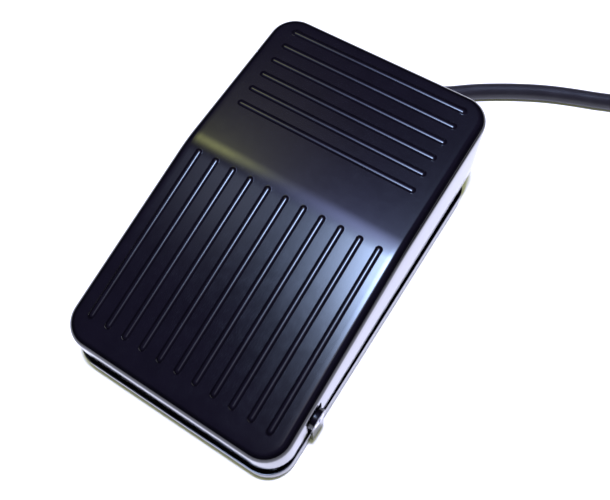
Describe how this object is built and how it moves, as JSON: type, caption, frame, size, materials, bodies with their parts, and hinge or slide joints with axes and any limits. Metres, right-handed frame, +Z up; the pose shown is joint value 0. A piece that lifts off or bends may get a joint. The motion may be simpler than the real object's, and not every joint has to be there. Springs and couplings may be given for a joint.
{
  "type": "foot pedal switch",
  "caption": "Low rectangular foot pedal with a ribbed glossy rocking cover on a tray, sprung up at the toe end, working a lever microswitch; lead with jack plug.",
  "frame": {"origin": "middle of the pedal's footprint, on the surface that it stands on, measured without the lead", "axes": "+Z up, +Y towards the toe end, where the lead comes out, +X towards the right side as the user's foot points"},
  "size_m": [0.191, 0.1636, 0.0359],
  "materials": {
    "cover_plastic": "glossy black moulded plastic",
    "base_plastic": "black moulded plastic",
    "steel": "bright zinc plated",
    "zinc_steel": "pressed, zinc plated",
    "spring_steel": "drawn wire and strip",
    "brass": "plain",
    "foot_rubber": "matte",
    "lead_rubber": "satin black",
    "switch_plastic": "satin black",
    "button_plastic": "red",
    "plug_plastic": "satin black",
    "nickel": "nickel plated",
    "wire_brown": "insulation",
    "wire_blue": "insulation"
  },
  "bodies": {
    "base": {"base_tray": "base_plastic", "pivot_bushes": "brass", "rubber_feet": "foot_rubber", "stop_pads": "foot_rubber", "return_spring_left": "spring_steel", "return_spring_right": "spring_steel", "switch_bracket": "zinc_steel", "bracket_screws": "steel", "switch_case": "switch_plastic", "switch_lid": "switch_plastic", "switch_screws": "steel", "switch_nuts": "steel", "lever_pin": "steel", "terminal_common": "brass", "terminal_open": "brass", "terminal_closed": "brass", "wire_common": "wire_brown", "wire_open": "wire_blue", "cord_gland": "lead_rubber", "cord_sheath": "lead_rubber", "cord_clamp": "base_plastic", "clamp_screws": "steel", "cord": "lead_rubber", "cord_coil": "lead_rubber", "cord_tail": "lead_rubber", "plug_grip": "plug_plastic", "plug_sleeve": "nickel", "plug_ring": "plug_plastic", "plug_tip": "nickel"},
    "pedal": {"pedal_cover": "cover_plastic", "pivot_screws": "steel", "pivot_washers": "steel"},
    "lever": {"switch_lever": "spring_steel"},
    "plunger": {"switch_plunger": "button_plastic"},
    "blade": {"contact_blade": "brass"}
  },
  "joints": [
    {"name": "pedal_press", "type": "hinge", "parent": "base", "child": "pedal", "pos_m": [0, -0.0358, 0.015], "axis": [-1, 0, 0], "range_deg": [0, 4], "stiffness_Nm_per_rad": 1.2, "springref_deg": -20.05, "deforming": ["return_spring_left", "return_spring_right"]},
    {"name": "lever_swing", "type": "hinge", "parent": "base", "child": "lever", "pos_m": [0, 0.0045, 0.0259], "axis": [-1, 0, 0], "range_deg": [0, 11.4]},
    {"name": "plunger_travel", "type": "slide", "parent": "base", "child": "plunger", "axis": [0, 0, -1], "range_m": [0, 0.00141]},
    {"name": "blade_swing", "type": "hinge", "parent": "base", "child": "blade", "pos_m": [0, 0.0054, 0.016], "axis": [-1, 0, 0], "range_deg": [0, 11.3]}
  ],
  "couplings": [
    {"joint": "lever_swing", "follows": "pedal_press", "ratio": 2.825},
    {"joint": "plunger_travel", "follows": "pedal_press", "m_per_rad": 0.020054},
    {"joint": "blade_swing", "follows": "pedal_press", "ratio": 2.8}
  ]
}
